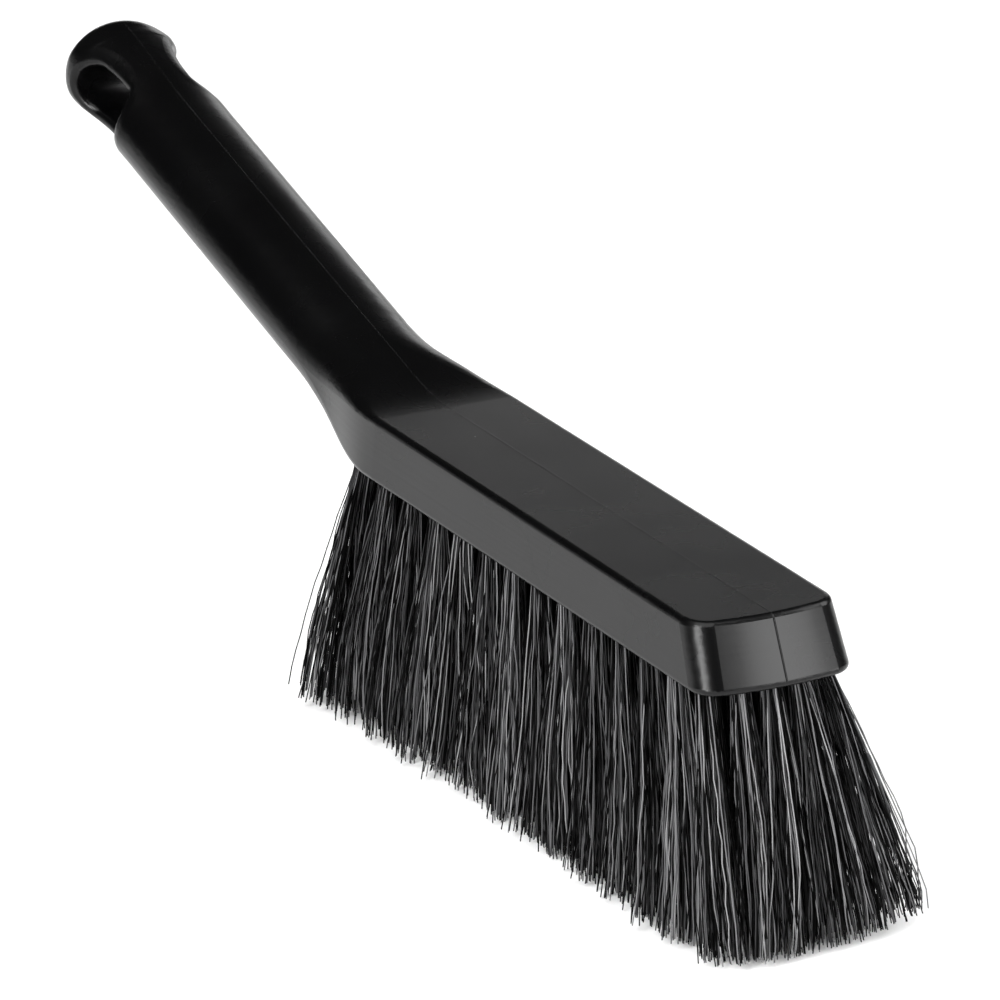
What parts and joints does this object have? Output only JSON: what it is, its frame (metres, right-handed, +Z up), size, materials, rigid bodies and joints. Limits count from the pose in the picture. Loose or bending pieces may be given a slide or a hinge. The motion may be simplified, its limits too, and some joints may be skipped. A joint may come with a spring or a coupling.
{
  "type": "bee brush",
  "caption": "Black plastic hand brush: a flat straight block with rows of long soft bristles and a sloping oval handle that ends in a hanging slot.",
  "frame": {"origin": "middle of the overall box in plan, on the plane of the bristle tips that the brush stands on", "axes": "+X along the brush towards the block's free front end, with the handle towards -X; +Y across it; +Z up, from the bristle tips to the block"},
  "size_m": [0.3316, 0.0646, 0.1164],
  "materials": {
    "body_plastic": "satin",
    "bristle": "satin",
    "staple_wire": "plain drawn wire"
  },
  "bodies": {
    "brush": {"brush_body": "body_plastic", "right_outer_staples": "staple_wire", "right_inner_staples": "staple_wire", "centre_staples": "staple_wire", "left_inner_staples": "staple_wire", "left_outer_staples": "staple_wire"},
    "right_outer_bristles": {"right_outer_tufts_front": "bristle", "right_outer_tufts_middle": "bristle", "right_outer_tufts_rear": "bristle"},
    "right_inner_bristles": {"right_inner_tufts_front": "bristle", "right_inner_tufts_middle": "bristle", "right_inner_tufts_rear": "bristle"},
    "centre_bristles": {"centre_tufts_front": "bristle", "centre_tufts_middle": "bristle", "centre_tufts_rear": "bristle"},
    "left_inner_bristles": {"left_inner_tufts_front": "bristle", "left_inner_tufts_middle": "bristle", "left_inner_tufts_rear": "bristle"},
    "left_outer_bristles": {"left_outer_tufts_front": "bristle", "left_outer_tufts_middle": "bristle", "left_outer_tufts_rear": "bristle"}
  },
  "joints": [
    {"name": "right_outer_flex", "type": "hinge", "parent": "brush", "child": "right_outer_bristles", "pos_m": [0, -0.0134, 0.058], "axis": [1, 0, 0], "range_deg": [-25, 25], "stiffness_Nm_per_rad": 0.076, "deforming": ["right_outer_tufts_front", "right_outer_tufts_middle", "right_outer_tufts_rear"]},
    {"name": "right_inner_flex", "type": "hinge", "parent": "brush", "child": "right_inner_bristles", "pos_m": [0, -0.0067, 0.058], "axis": [1, 0, 0], "range_deg": [-25, 25], "stiffness_Nm_per_rad": 0.076, "deforming": ["right_inner_tufts_front", "right_inner_tufts_middle", "right_inner_tufts_rear"]},
    {"name": "centre_flex", "type": "hinge", "parent": "brush", "child": "centre_bristles", "pos_m": [0, 0, 0.058], "axis": [1, 0, 0], "range_deg": [-25, 25], "stiffness_Nm_per_rad": 0.076, "deforming": ["centre_tufts_front", "centre_tufts_middle", "centre_tufts_rear"]},
    {"name": "left_inner_flex", "type": "hinge", "parent": "brush", "child": "left_inner_bristles", "pos_m": [0, 0.0067, 0.058], "axis": [1, 0, 0], "range_deg": [-25, 25], "stiffness_Nm_per_rad": 0.076, "deforming": ["left_inner_tufts_front", "left_inner_tufts_middle", "left_inner_tufts_rear"]},
    {"name": "left_outer_flex", "type": "hinge", "parent": "brush", "child": "left_outer_bristles", "pos_m": [0, 0.0134, 0.058], "axis": [1, 0, 0], "range_deg": [-25, 25], "stiffness_Nm_per_rad": 0.076, "deforming": ["left_outer_tufts_front", "left_outer_tufts_middle", "left_outer_tufts_rear"]}
  ],
  "couplings": [
    {"joint": "right_outer_flex", "follows": "centre_flex", "ratio": 1},
    {"joint": "right_inner_flex", "follows": "centre_flex", "ratio": 1},
    {"joint": "left_inner_flex", "follows": "centre_flex", "ratio": 1},
    {"joint": "left_outer_flex", "follows": "centre_flex", "ratio": 1}
  ]
}
